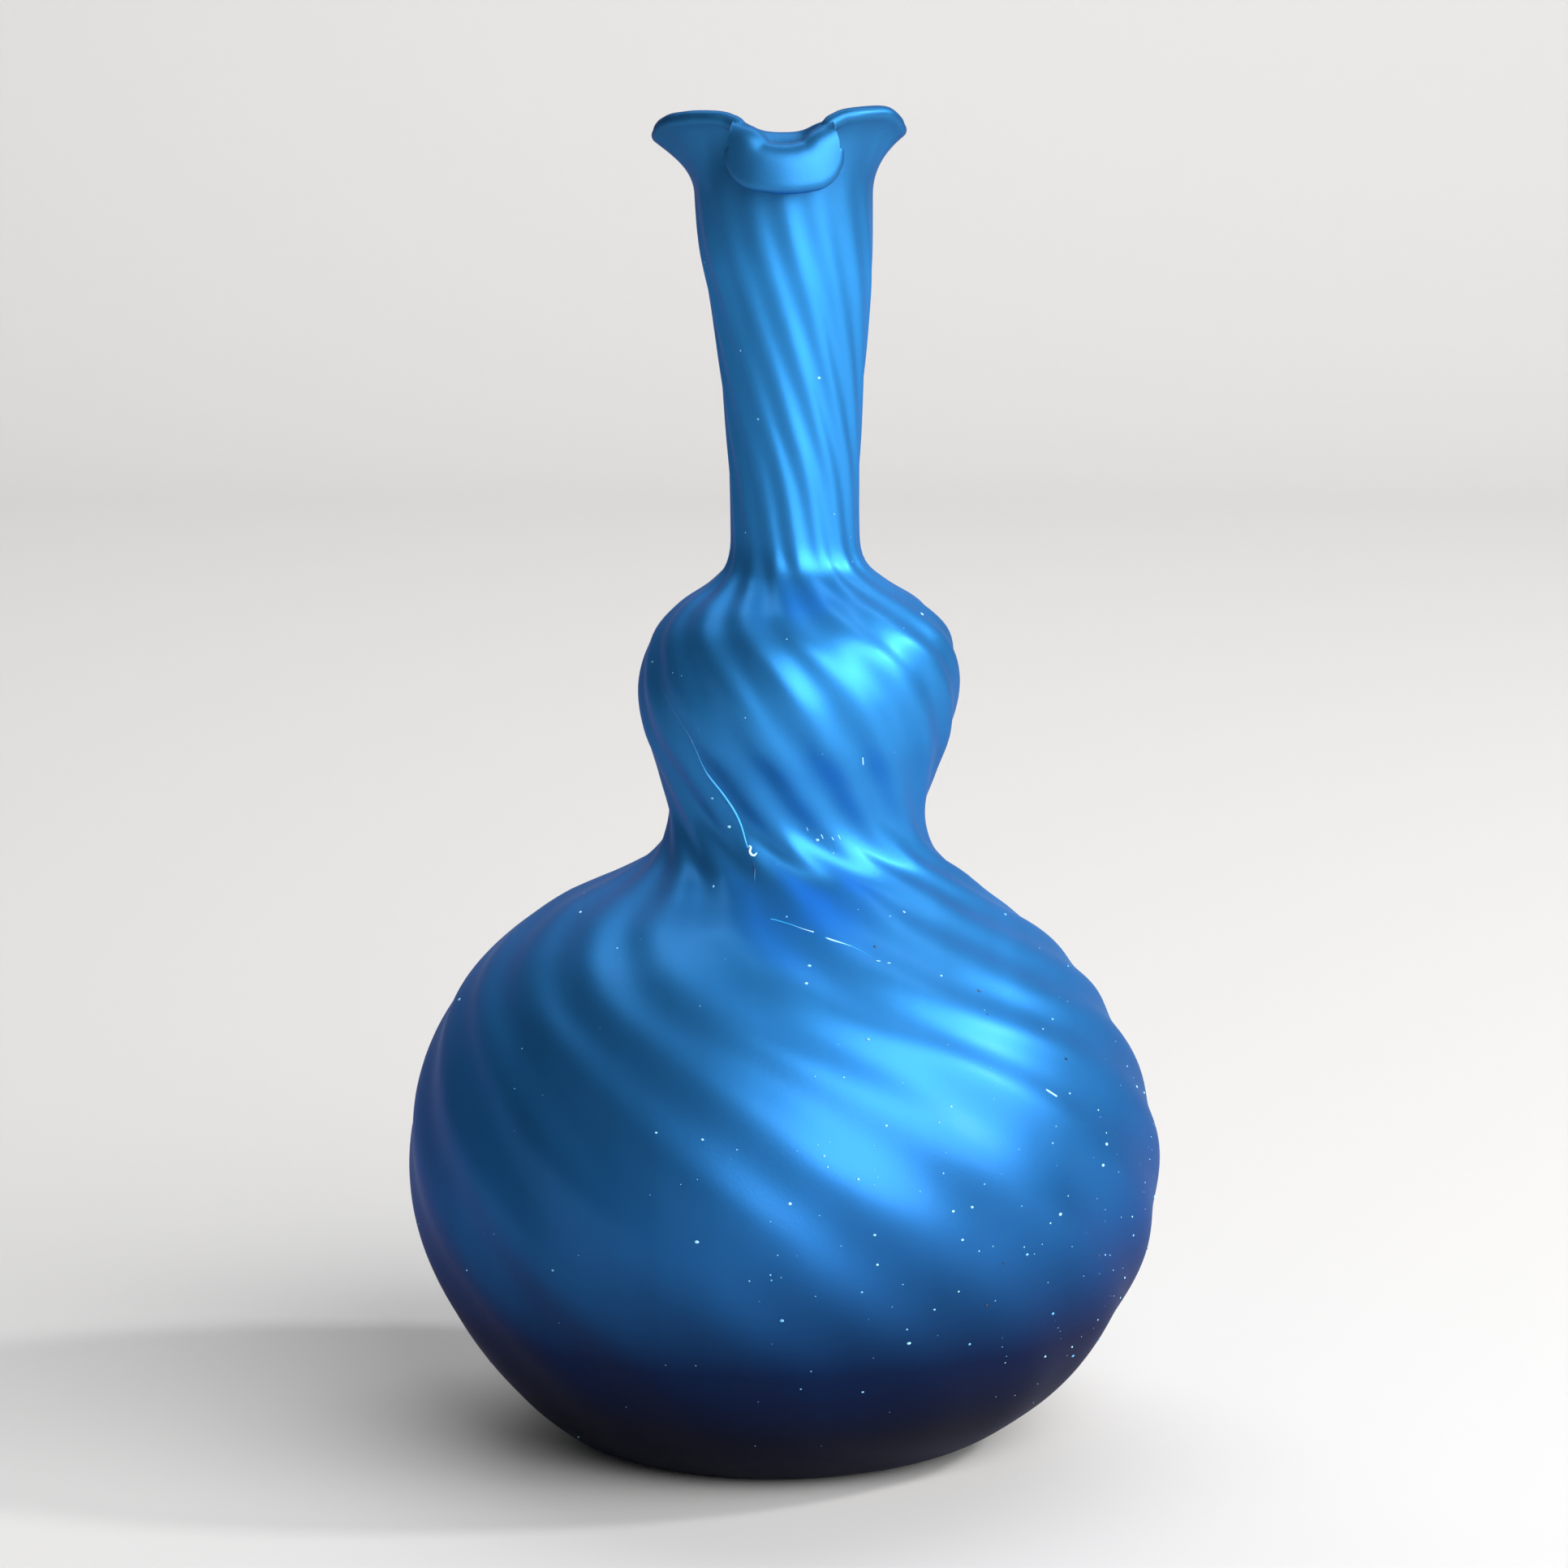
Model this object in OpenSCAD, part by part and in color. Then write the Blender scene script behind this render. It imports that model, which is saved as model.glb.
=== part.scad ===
// Hand blown gourd vase in layered glass: a wide lower bulb, a small upper bulb, a long
// neck and a four-lobed lip. A clear lining carries a blue casing whose soft optic ribs
// were twisted as the vase was blown. Millimetres, +Z up, origin under the foot.

/* [Overall] */
// Height of the highest lip lobe above the table
height = 220; // [200:1:240]
// Diameter of the lower bulb over its ribs
bulb_d = 125; // [115:1:135]

/* [Wall] */
// Thickness of the blue casing over a rib
casing_t = 1.7; // [1.5:0.1:2]
// Thickness of the clear lining in the bulbs and the neck
lining_t = 0.9; // [0.7:0.1:1.2]
// Extra thickness of the lining where the glass pooled in the base
pool_t = 2.2; // [1:0.1:3]

/* [Ribs] */
// Number of twisted optic ribs around the casing
rib_count = 16; // [12:1:20]
// Depth of the valleys between two ribs on the bulbs
rib_rise = 0.8; // [0:0.1:1.2]
// Direction of one rib's crest at the lip, counted anticlockwise from +X
rib_phase = 3.5; // [0:0.5:22]

/* [Foot and pontil] */
// Outer radius of the flat standing ring
foot_r = 29.5; // [27:0.5:31]
// Inner radius of the flat standing ring
ring_r = 23.5; // [20:0.5:25]
// Height of the kick-up inside the standing ring
kick_h = 1.8; // [1.4:0.1:2]
// Radius of the pontil button
pontil_r = 9; // [7:0.5:10]
// Thickness of the pontil button
pontil_t = 1.2; // [0.8:0.1:1.3]

/* [Trail and seeds] */
// Radius of the stray glass trail on the waist
trail_r = 0.35; // [0.3:0.05:0.6]
// Number of seeds and stones that stand in the skin of the lower bulb
seed_count = 40; // [20:1:60]
// Radius of the largest seed
seed_r = 0.32; // [0.3:0.02:0.5]

/* [Hidden] */
$fn = 48;

nominal_h = 220;
nominal_d = 125;
stretch = [bulb_d / nominal_d, height / nominal_h];

// Outline of the glass over the rib crests as [radius, height], from the foot to the
// base of the lip, at the nominal size
body_outline = [
    [36.0, 2.4], [43.5, 7.6], [51.0, 15.5], [57.4, 25.5], [61.2, 36.0], [62.5, 47.0],
    [61.3, 57.0], [57.6, 67.0], [52.3, 76.0], [45.0, 84.0], [36.7, 90.0], [28.2, 95.0],
    [23.1, 99.0], [21.3, 104.5], [22.9, 111.5], [25.6, 119.0], [26.5, 127.0],
    [24.6, 134.5], [20.2, 139.5], [14.6, 143.2], [11.2, 147.0], [10.6, 154.0],
    [11.3, 170.0], [12.6, 184.0], [14.1, 196.0], [14.5, 206.0]
];
outline = concat([[foot_r, 0]], [for (p = body_outline) [p[0] * stretch[0], p[1] * stretch[1]]]);
last = len(outline) - 1;

// Sideways lean of the axis along X at each height: the vase was shaped by hand
lean = [[0, -1.7], [6, -0.3], [15, 0.3], [47, 0], [80, -1.3], [88, -1.4], [92, -0.4],
        [99, 1.9], [124, 2.4], [138, 2.9], [148, 1.9], [166, 1.6], [186, 1.1], [204, 0], [220, -0.3]];
// Turn of the ribs in degrees at each height, growing downwards from the lip
turn = [[0, 300], [8, 297], [22, 290], [40, 272], [58, 252], [70, 235], [82, 208], [94, 182],
        [106, 143], [118, 121], [130, 102], [142, 76], [148, 67], [160, 55], [172, 36],
        [190, 11], [206, -4], [220, -14]];
// Share of rib_rise at each height
rise = [[0, 0], [8, 0.2], [30, 0.85], [52, 1], [70, 0.85], [86, 0.65], [104, 0.65], [126, 0.9],
        [146, 0.4], [162, 0.45], [190, 0.5], [205, 0.3], [214, 0], [220, 0]];

// Outer face of the lip, lobe by lobe: [azimuth, radius and height of its edge, radius and
// height that its curve bends over, how far the neck's line runs on upwards, degrees that
// the edge is drawn sideways]
lip = [
    [0, 19.6, 215.5, 16.5, 213.0, 4, 0], [16, 18.9, 216.1, 15.6, 213.8, 4, 0],
    [32, 17.6, 216.4, 14.5, 213.8, 4, 0], [56, 15.8, 215.7, 13.5, 212.4, 4, 0],
    [90, 16.4, 213.1, 12.5, 210.9, 4, 0], [124, 15.7, 215.3, 13.4, 212.0, 4, 0],
    [148, 17.8, 215.8, 14.7, 213.2, 4, 0], [166, 20.0, 215.4, 16.8, 212.9, 4, 0],
    [182, 20.7, 214.6, 17.5, 212.1, 4, 0], [196, 20.3, 216.3, 17.0, 214.0, 4, 0],
    [212, 18.4, 217.6, 15.3, 215.0, 4, 0], [222, 16.7, 217.8, 14.3, 215.3, 4, 3],
    [230, 15.7, 217.2, 14.4, 216.4, 5, 6], [237, 15.4, 215.5, 14.6, 217.8, 6.5, 3],
    [244, 15.6, 213.0, 15.0, 219.2, 8, -2], [250, 15.9, 211.0, 15.3, 219.4, 8, -5],
    [256, 16.2, 209.4, 15.6, 217.9, 7, -6], [263, 16.4, 208.5, 15.8, 216.2, 6, -4],
    [271, 16.4, 208.2, 15.8, 215.7, 6, 0], [279, 16.4, 208.5, 15.8, 216.3, 6, 4],
    [286, 16.2, 209.4, 15.6, 217.5, 7, 6], [292, 15.9, 211.0, 15.3, 218.7, 8, 5],
    [298, 15.6, 213.0, 15.0, 218.9, 8, 2], [305, 15.4, 215.6, 14.6, 217.8, 6.5, -3],
    [312, 15.8, 217.5, 14.3, 216.4, 5, -6], [320, 16.8, 218.3, 14.4, 215.8, 4, -3],
    [332, 17.8, 218.4, 14.7, 215.8, 4, 0], [344, 19.0, 217.4, 15.8, 215.0, 4, 0],
    [360, 19.6, 215.5, 16.5, 213.0, 4, 0]
];
lip_steps = 6;      // levels between the neck and the lip
edge_steps = 2;     // levels around a quarter of the rounded lip
lip_wall = casing_t + lining_t;

columns = rib_count * 4;
// Levels of the ribbed outside, and of the plain surfaces, which need fewer in the body
lobe_levels = [for (k = [1:lip_steps]) last + k / lip_steps];
fine_levels = concat([for (s = [0:0.5:last]) s], lobe_levels);
coarse_levels = concat([for (s = [0:1:last]) s], lobe_levels);

// Catmull-Rom curve through pts at s, in spans
function curve(pts, s) =
    let (n = len(pts) - 1, i = min(floor(s), n - 1), t = s - i,
         a = pts[max(i - 1, 0)], b = pts[i], c = pts[i + 1], d = pts[min(i + 2, n)])
    b + 0.5 * t * ((c - a) + t * ((2 * a - 5 * b + 4 * c - d) + t * (3 * b - a - 3 * c + d)));

// Lip values at an azimuth, eased from one lobe to the next
function lip_at(azimuth) =
    let (a = azimuth - 360 * floor(azimuth / 360),
         i = [for (k = [0:len(lip) - 2]) if (a >= lip[k][0] && a < lip[k + 1][0]) k][0],
         t = (a - lip[i][0]) / (lip[i + 1][0] - lip[i][0]),
         e = t * t * (3 - 2 * t))
    [for (k = [1:6]) lip[i][k] + e * (lip[i + 1][k] - lip[i][k])];

// Outer face in a lobe: a Bezier curve from the neck (t = 0) to the lip (t = 1)
function lobe(azimuth, t) =
    let (v = lip_at(azimuth),
         start = outline[last],
         c1 = start + [0, v[4] * stretch[1]],
         c2 = [v[2] * stretch[0], v[3] * stretch[1]],
         end = [v[0] * stretch[0], v[1] * stretch[1]],
         u = 1 - t)
    u * u * u * start + 3 * u * u * t * c1 + 3 * u * t * t * c2 + t * t * t * end;

// Meridian of the wall's outer face at level s: the outline up to the neck, then a lobe
function meridian(azimuth, s) = s <= last ? curve(outline, s) : lobe(azimuth, s - last);

// Azimuth of the point at level s of the meridian that starts at an azimuth
function drawn(azimuth, s) = azimuth + lip_at(azimuth)[5] * pow(max(s - last, 0), 2);

// Direction that points out of the glass at level s, in the meridian plane
function outward(azimuth, s) =
    let (h = 0.02,
         lo = s > last ? max(s - h, last) : max(s - h, 0),
         hi = s > last ? min(s + h, last + 1) : min(s + h, last),
         d = meridian(azimuth, hi) - meridian(azimuth, lo))
    [d[1], -d[0]] / norm(d);

// A point at a depth below the rib crests, as [radius, height]
function wall(azimuth, s, depth) = meridian(azimuth, s) - depth * outward(azimuth, s);

// Azimuth of column j where the surface stands at height z
function column(j, z) = rib_phase + 360 * j / columns + lookup(z / stretch[1], turn);

// A point of the meridian plane placed in space on the leaning axis
function place(azimuth, p) = [
    p[0] * cos(azimuth) + lookup(p[1] / stretch[1], lean), p[0] * sin(azimuth), p[1]
];

// Depth of the ribbed outside below the crests at column j
function rib_depth(j, z) =
    let (crest = (1 + cos(rib_count * 360 * j / columns)) / 2)
    rib_rise * lookup(z / stretch[1], rise) * (1 - crest);

function level_z(s) = s <= last ? curve(outline, s)[1] : outline[last][1];

// Rings of points, one per level, at the depths that the three surfaces have
function outside_ring(s) = [
    for (j = [0:columns - 1]) let (z = level_z(s), a = column(j, z))
        place(drawn(a, s), wall(a, s, rib_depth(j, z)))
];
function plain_ring(s, depth) = [
    for (j = [0:columns - 1]) let (a = column(j, level_z(s))) place(drawn(a, s), wall(a, s, depth))
];
// The rounded lip: b runs from 0 on the outside over 90 at the edge to 180 on the inside
function edge_ring(b) = [
    for (j = [0:columns - 1])
        let (a = column(j, level_z(last)), out = outward(a, last + 1), along = [-out[1], out[0]],
             p = meridian(a, last + 1) + lip_wall / 2 * ((cos(b) - 1) * out + sin(b) * along))
            place(drawn(a, last + 1), p)
];
// A flat ring of the base at radius r and height z
function base_ring(r, z) = [
    for (j = [0:columns - 1]) let (a = column(j, 0)) place(a, [r, z])
];

// Depth of the inner face, which is deeper where the glass pooled in the base
function inner_depth(s) = lip_wall + pool_t * lookup(level_z(s), [[0, 1], [10, 0.5], [30, 0]]);

casing_floor = kick_h + casing_t;
lining_floor = casing_floor + lining_t + pool_t;

// Surfaces as lists of rings, each from the middle of the base to the edge of the lip
outside = concat(
    [base_ring(pontil_r + 2, kick_h), base_ring(ring_r - 1.5, 0.6 * kick_h), base_ring(ring_r, 0)],
    [for (s = fine_levels) outside_ring(s)],
    [for (k = [1:edge_steps]) edge_ring(90 * k / edge_steps)]
);
between = concat(
    [base_ring(pontil_r + 2, casing_floor), base_ring(ring_r, casing_floor - 0.3 * kick_h)],
    [for (s = coarse_levels) plain_ring(s, casing_t)]
);
inside = concat(
    [base_ring(pontil_r + 2, lining_floor), base_ring(ring_r, lining_floor)],
    [for (s = coarse_levels) plain_ring(s, inner_depth(s))],
    [for (k = [1:edge_steps]) edge_ring(180 - 90 * k / edge_steps)]
);

// Closed shell between an outer and an inner list of rings that meet at the lip. Each
// list starts around the axis, where a centre point closes it.
module shell(outer, inner) {
    n = columns;
    rings = concat(outer, [for (i = [len(inner) - 1:-1:0]) inner[i]]);
    points = concat([for (r = rings) each r],
                    [place(0, [0, outer[0][0][2]]), place(0, [0, inner[0][0][2]])]);
    low = n * len(rings);
    sides = [for (i = [0:len(rings) - 2], j = [0:n - 1], half = [0, 1])
        let (a = i * n + j, b = i * n + (j + 1) % n)
            half == 0 ? [a, a + n, b] : [b, a + n, b + n]];
    caps = [for (j = [0:n - 1], top = [0, 1])
        let (a = j, b = (j + 1) % n, t = n * (len(rings) - 1))
            top == 0 ? [low, a, b] : [low + 1, t + b, t + a]];
    polyhedron(points, concat(sides, caps), convexity = 8);
}

// Blue overlay with the twisted ribs: it carries the outside, the foot and half the lip
module blue_casing() {
    color("steelblue") shell(outside, between);
}

// Clear first gather inside it: it carries the inner wall, the floor and half the lip
module clear_lining() {
    color("lightskyblue") shell([for (r = between) r], inside);
}

// Fire-polished button of glass left under the kick-up by the punty
module pontil_button() {
    soft = pontil_t / 3;
    color("midnightblue") translate([lookup(0, lean), 0, kick_h - pontil_t]) rotate_extrude()
        union() {
            translate([0, soft]) square([pontil_r, pontil_t - soft]);
            square([pontil_r - soft, pontil_t]);
            translate([pontil_r - soft, soft]) circle(soft);
        }
}

// Azimuth and height of the stray trail's points, down from the upper bulb to its curl
trail_path = [
    [207, 128.6], [216, 125], [226, 120.3], [230, 115.2], [238, 110.4], [243, 107.2], [247, 103.4], [250.5, 101.6]
];
trail_rings = 22;
trail_sides = 8;

// Level of the outline whose height is z, found by halving the range
function level_at(z, lo = 0, hi = last, n = 16) =
    n == 0 ? (lo + hi) / 2
    : let (m = (lo + hi) / 2) curve(outline, m)[1] < z ? level_at(z, m, hi, n - 1) : level_at(z, lo, m, n - 1);

// A point standing a lift above the rib crests at an azimuth and a height
function on_skin(azimuth, z, lift) = place(azimuth, wall(azimuth, level_at(z), -lift));

// Tube with round ends swept along points, thinning towards both ends
module tube(path, r) {
    n = len(path);
    function radius(i) = r * (0.35 + 0.65 * sin(180 * min(max(i / (n - 1), 0.06), 0.94)));
    function ring(i) =
        let (d = path[min(i + 1, n - 1)] - path[max(i - 1, 0)],
             t = d / norm(d),
             u = cross(t, [0, 0, 1]) / norm(cross(t, [0, 0, 1])),
             v = cross(u, t))
        [for (k = [0:trail_sides - 1])
            let (a = 360 * k / trail_sides) path[i] + radius(i) * (cos(a) * u + sin(a) * v)];
    points = [for (i = [0:n - 1]) each ring(i)];
    sides = [for (i = [0:n - 2], k = [0:trail_sides - 1])
        let (a = i * trail_sides + k, b = i * trail_sides + (k + 1) % trail_sides)
            [a, b, b + trail_sides, a + trail_sides]];
    start = [for (k = [trail_sides - 1:-1:0]) k];
    end = [for (k = [0:trail_sides - 1]) (n - 1) * trail_sides + k];
    polyhedron(points, concat(sides, [start, end]));
}

// Thread of glass that fell on the waist, and the blob where it curled up
module glass_trail() {
    spans = len(trail_path) - 1;
    skin = [for (i = [0:trail_rings - 1])
        let (p = curve(trail_path, spans * i / (trail_rings - 1))) on_skin(p[0], p[1], 0)];
    color("skyblue") {
        tube(skin, trail_r);
        translate(skin[trail_rings - 1]) sphere(1.6 * trail_r, $fn = 24);
    }
}

// Seeds and stones: unmelted grains that stand half out of the lower bulb's skin
module skin_seeds() {
    along = rands(0, 1, seed_count, 7);
    around = rands(0, 1, seed_count, 11);
    size = rands(0.5, 1, seed_count, 3);
    color("lightcyan") for (i = [0:seed_count - 1])
        translate(on_skin(360 * around[i], 12 + 90 * pow(along[i], 1.6), 0))
            sphere(seed_r * size[i], $fn = 24);
}

blue_casing();
clear_lining();
pontil_button();
glass_trail();
skin_seeds();
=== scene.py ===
import math

import bpy
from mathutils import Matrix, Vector
from mathutils.bvhtree import BVHTree


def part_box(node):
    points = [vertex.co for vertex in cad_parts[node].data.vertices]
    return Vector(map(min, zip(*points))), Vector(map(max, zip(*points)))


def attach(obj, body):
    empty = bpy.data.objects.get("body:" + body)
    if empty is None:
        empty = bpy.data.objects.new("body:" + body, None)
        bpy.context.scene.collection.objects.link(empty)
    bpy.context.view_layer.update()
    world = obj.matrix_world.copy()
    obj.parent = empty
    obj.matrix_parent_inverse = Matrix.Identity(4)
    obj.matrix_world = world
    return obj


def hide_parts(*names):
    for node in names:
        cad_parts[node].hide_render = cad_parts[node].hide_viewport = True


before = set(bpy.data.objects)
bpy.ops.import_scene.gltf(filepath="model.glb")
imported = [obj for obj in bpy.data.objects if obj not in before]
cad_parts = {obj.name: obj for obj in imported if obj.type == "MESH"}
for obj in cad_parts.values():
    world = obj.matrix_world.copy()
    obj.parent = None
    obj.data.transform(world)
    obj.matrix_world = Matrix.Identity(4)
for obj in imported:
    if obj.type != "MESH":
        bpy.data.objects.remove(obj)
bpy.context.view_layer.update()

mm = 0.001
glassIor = 1.5


# A socket of a node tree, so that node maths can be written as sums
class Wire:
    def __init__(self, net, node, socket):
        self.net, self.node, self.socket = net, node, socket

    def out(self, name):
        return Wire(self.net, self.node, self.node.outputs[name])

    def __add__(self, other):
        return self.net.maths("ADD", self, other)

    def __radd__(self, other):
        return self.net.maths("ADD", other, self)

    def __sub__(self, other):
        return self.net.maths("SUBTRACT", self, other)

    def __rsub__(self, other):
        return self.net.maths("SUBTRACT", other, self)

    def __mul__(self, other):
        return self.net.maths("MULTIPLY", self, other)

    def __rmul__(self, other):
        return self.net.maths("MULTIPLY", other, self)

    def __truediv__(self, other):
        return self.net.maths("DIVIDE", self, other)

    def __rtruediv__(self, other):
        return self.net.maths("DIVIDE", other, self)

    def __pow__(self, other):
        return self.net.maths("POWER", self, other)

    def __gt__(self, other):
        return self.net.maths("GREATER_THAN", self, other)

    def __lt__(self, other):
        return self.net.maths("LESS_THAN", self, other)


# A node tree, shader or geometry, that is being wired up
class Net:
    def __init__(self, tree):
        self.tree = tree

    def node(self, kind, settings=None, inputs=None):
        made = self.tree.nodes.new(kind)
        for name, value in (settings or {}).items():
            if name == "stops":        # of a colour ramp: (place, colour)
                fillRamp(made.color_ramp, value)
            elif name == "points":     # of a float curve: (x, y)
                fillCurve(made, value)
            else:
                setattr(made, name, value)
        for name, value in (inputs or {}).items():
            if isinstance(value, Wire):
                self.tree.links.new(value.socket, made.inputs[name])
            else:
                made.inputs[name].default_value = value
        shown = next((s for s in made.outputs if s.enabled), None)
        return Wire(self, made, shown)

    def maths(self, operation, *values):
        return self.node("ShaderNodeMath", {"operation": operation}, dict(enumerate(values)))

    def vectors(self, operation, a, b=None):
        inputs = {0: a}
        if b is not None:
            inputs["Scale" if operation == "SCALE" else 1] = b
        return self.node("ShaderNodeVectorMath", {"operation": operation}, inputs)

    def chosen(self, factor, a, b):
        # vector a where the factor is 0, b where it is 1
        return self.vectors("ADD", a, self.vectors("SCALE", self.vectors("SUBTRACT", b, a), factor))


def fillRamp(ramp, stops):
    while len(ramp.elements) < len(stops):
        ramp.elements.new(1.0)
    for element, (place, colour) in zip(ramp.elements, stops):
        element.position = place
        element.color = (*colour, 1.0)


def fillCurve(node, points):
    curve = node.mapping.curves[0]
    while len(curve.points) < len(points):
        curve.points.new(1.0, 1.0)
    for point, place in zip(curve.points, points):
        point.location = place
        point.handle_type = "AUTO_CLAMPED"
    node.mapping.update()


# the glass wall: sizes in millimetres and degrees, at the nominal size
wall = {
    # the wall is scaled from this height and radius to the frame's casing
    "nominalHeight": 220.234,
    "nominalRadius": 62.5,
    # the base from its middle to the standing ring, as (radius, height)
    "base": [(0, 1.8), (11, 1.8), (22, 1.0), (24.0, 0), (29.5, 0)],
    # the outline over the rib crests, from there to the foot of the lip
    "outline": [
        (36.0, 2.4), (43.5, 7.6), (51.0, 15.5), (57.4, 25.5), (61.2, 36.0), (62.5, 47.0),
        (61.3, 57.0), (57.6, 67.0), (52.3, 76.0), (45.0, 84.0), (36.7, 90.0), (28.2, 95.0),
        (23.1, 99.0), (21.3, 104.5), (22.9, 111.5), (25.6, 119.0), (26.5, 127.0),
        (24.6, 134.5), (20.2, 139.5), (14.6, 143.2), (11.2, 147.0), (10.6, 154.0),
        (11.3, 170.0), (12.6, 184.0), (14.1, 196.0), (14.5, 206.0),
    ],
    # sideways lean of the axis at each height
    "lean": [(0, -1.7), (6, -0.3), (15, 0.3), (47, 0), (80, -1.3), (88, -1.4), (92, -0.4),
             (99, 1.9), (124, 2.4), (138, 2.9), (148, 1.9), (166, 1.6), (186, 1.1), (204, 0),
             (220, -0.3)],
    # turn of the ribs in degrees at each height
    "turn": [(0, 300), (8, 297), (22, 290), (40, 272), (58, 252), (70, 235), (82, 208),
             (94, 182), (106, 143), (118, 121), (130, 102), (142, 76), (148, 67), (160, 55),
             (172, 36), (190, 11), (206, -4), (220, -14)],
    # share of the rib's full depth at each height
    "rise": [(0, 0), (8, 0.2), (30, 0.85), (52, 1), (70, 0.85), (86, 0.65), (104, 0.65), (126, 0.9),
             (146, 0.4), (162, 0.45), (190, 0.5), (205, 0.3), (216, 0), (220, 0)],
    # the outer face of the lip at each azimuth: radius and height of its edge, radius and
    # height that its curve bends over, how far the neck's line runs on upwards, and how many
    # degrees the edge is drawn sideways
    "lip": [
        (0, 19.6, 215.5, 16.5, 213.0, 4, 0), (16, 18.9, 216.1, 15.6, 213.8, 4, 0),
        (32, 17.6, 216.4, 14.5, 213.8, 4, 0), (56, 15.8, 215.7, 13.5, 212.4, 4, 0),
        (90, 16.4, 213.1, 12.5, 210.9, 4, 0), (124, 15.7, 215.3, 13.4, 212.0, 4, 0),
        (148, 17.8, 215.8, 14.7, 213.2, 4, 0), (166, 20.0, 215.4, 16.8, 212.9, 4, 0),
        (182, 20.7, 214.6, 17.5, 212.1, 4, 0), (196, 20.3, 216.3, 17.0, 214.0, 4, 0),
        (212, 18.4, 217.6, 15.3, 215.0, 4, 0), (222, 16.7, 217.8, 14.3, 215.3, 4, 3),
        (230, 15.7, 217.2, 14.4, 216.4, 5, 6), (237, 15.4, 215.5, 14.6, 217.8, 6.5, 3),
        (244, 15.6, 213.0, 15.0, 219.2, 8, -2), (250, 15.9, 211.0, 15.3, 219.4, 8, -5),
        (256, 16.2, 209.4, 15.6, 217.9, 7, -6), (263, 16.4, 208.5, 15.8, 216.2, 6, -4),
        (271, 16.4, 208.2, 15.8, 215.7, 6, 0), (279, 16.4, 208.5, 15.8, 216.3, 6, 4),
        (286, 16.2, 209.4, 15.6, 217.5, 7, 6), (292, 15.9, 211.0, 15.3, 218.7, 8, 5),
        (298, 15.6, 213.0, 15.0, 218.9, 8, 2), (305, 15.4, 215.6, 14.6, 217.8, 6.5, -3),
        (312, 15.8, 217.5, 14.3, 216.4, 5, -6), (320, 16.8, 218.3, 14.4, 215.8, 4, -3),
        (332, 17.8, 218.4, 14.7, 215.8, 4, 0), (344, 19.0, 217.4, 15.8, 215.0, 4, 0),
    ],
    "ribCount": 16,
    "ribRise": 0.8,
    "ribPhase": 3.5,         # azimuth of one crest where the turn is 0
    "casing": 1.7,           # thickness of the blue glass over a rib
    "lining": 0.9,           # thickness of the clear glass
    "pool": 2.2,             # extra glass in the base
    "gap": 0.02,             # between the two layers, so that their faces don't fight
    "columns": 224,          # around
    "waver": 0.25,           # hand-made unevenness of the outside
    "sway": 2.0,             # wander of the ribs in degrees
    "wanderAround": 1.4,     # how fast the unevenness changes around, and up, per metre
    "wanderUp": 22,
    "patches": (0.65, 0.7),  # least share of the ribs' depth, and how much more at most
    "drawnOut": 2.0,         # how much height counts in the place along the ribs
    "poolHeight": 30,        # where the extra glass of the base ends
    "lipBlend": (184, 197),  # heights between which the layers take their depths in the lip
    "bodyShare": 0.93,       # of the meridian; the rest is the lobes
    "weld": 0.002,           # points closer than this are joined
    "sharp": 50,             # edges above this angle stay crisp
}
casingLow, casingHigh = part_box("blue_casing")
scaleR = (casingHigh.x - casingLow.x) / 2 / wall["nominalRadius"]     # metres per nominal mm
scaleZ = casingHigh.z / wall["nominalHeight"]


def profileObject():
    # the outline as a bezier curve in the XZ plane, smooth above the standing ring
    points = [Vector((r * scaleR, 0, z * scaleZ)) for r, z in wall["base"] + wall["outline"]]
    smoothFrom = len(wall["base"]) - 1
    curve = bpy.data.curves.new("outline", "CURVE")
    curve.dimensions = "3D"
    curve.resolution_u = 16
    spline = curve.splines.new("BEZIER")
    spline.bezier_points.add(len(points) - 1)
    for i, (knot, place) in enumerate(zip(spline.bezier_points, points)):
        before = points[max(i - 1, 0)]
        after = points[min(i + 1, len(points) - 1)]
        knot.handle_left_type = knot.handle_right_type = "FREE"
        knot.co = place
        if i > smoothFrom:
            knot.handle_left = place - (after - before) / 6
            knot.handle_right = place + (after - before) / 6
        else:
            knot.handle_left = place + (before - place) / 3
            knot.handle_right = place + (after - place) / 3
    made = bpy.data.objects.new("outline", curve)
    bpy.context.scene.collection.objects.link(made)
    return made


def overHeight(net, height, stations, low, high):
    # a value that follows the height, from (height, value) stations between low and high
    top = wall["nominalHeight"]
    points = [(z / top, (v - low) / (high - low)) for z, v in stations]
    read = net.node("ShaderNodeFloatCurve", {"points": points}, {"Value": height / (top * scaleZ)})
    return read * (high - low) + low


def overAzimuth(net, azimuth, column, low, high):
    # a column of the lip's table, between low and high, that follows the azimuth in degrees and
    # is the same at 0 and at 360
    lip = wall["lip"]
    before = [(a - 360, *rest) for a, *rest in lip[-2:]]
    after = [(a + 360, *rest) for a, *rest in lip[:2]]
    ring = before + lip + after
    start, end = ring[0][0], ring[-1][0]
    points = [((s[0] - start) / (end - start), (s[column] - low) / (high - low)) for s in ring]
    read = net.node("ShaderNodeFloatCurve", {"points": points},
                    {"Value": (azimuth - start) / (end - start)})
    return read * (high - low) + low


def mixed(net, factor, a, b):
    return a + factor * (b - a)


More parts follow.
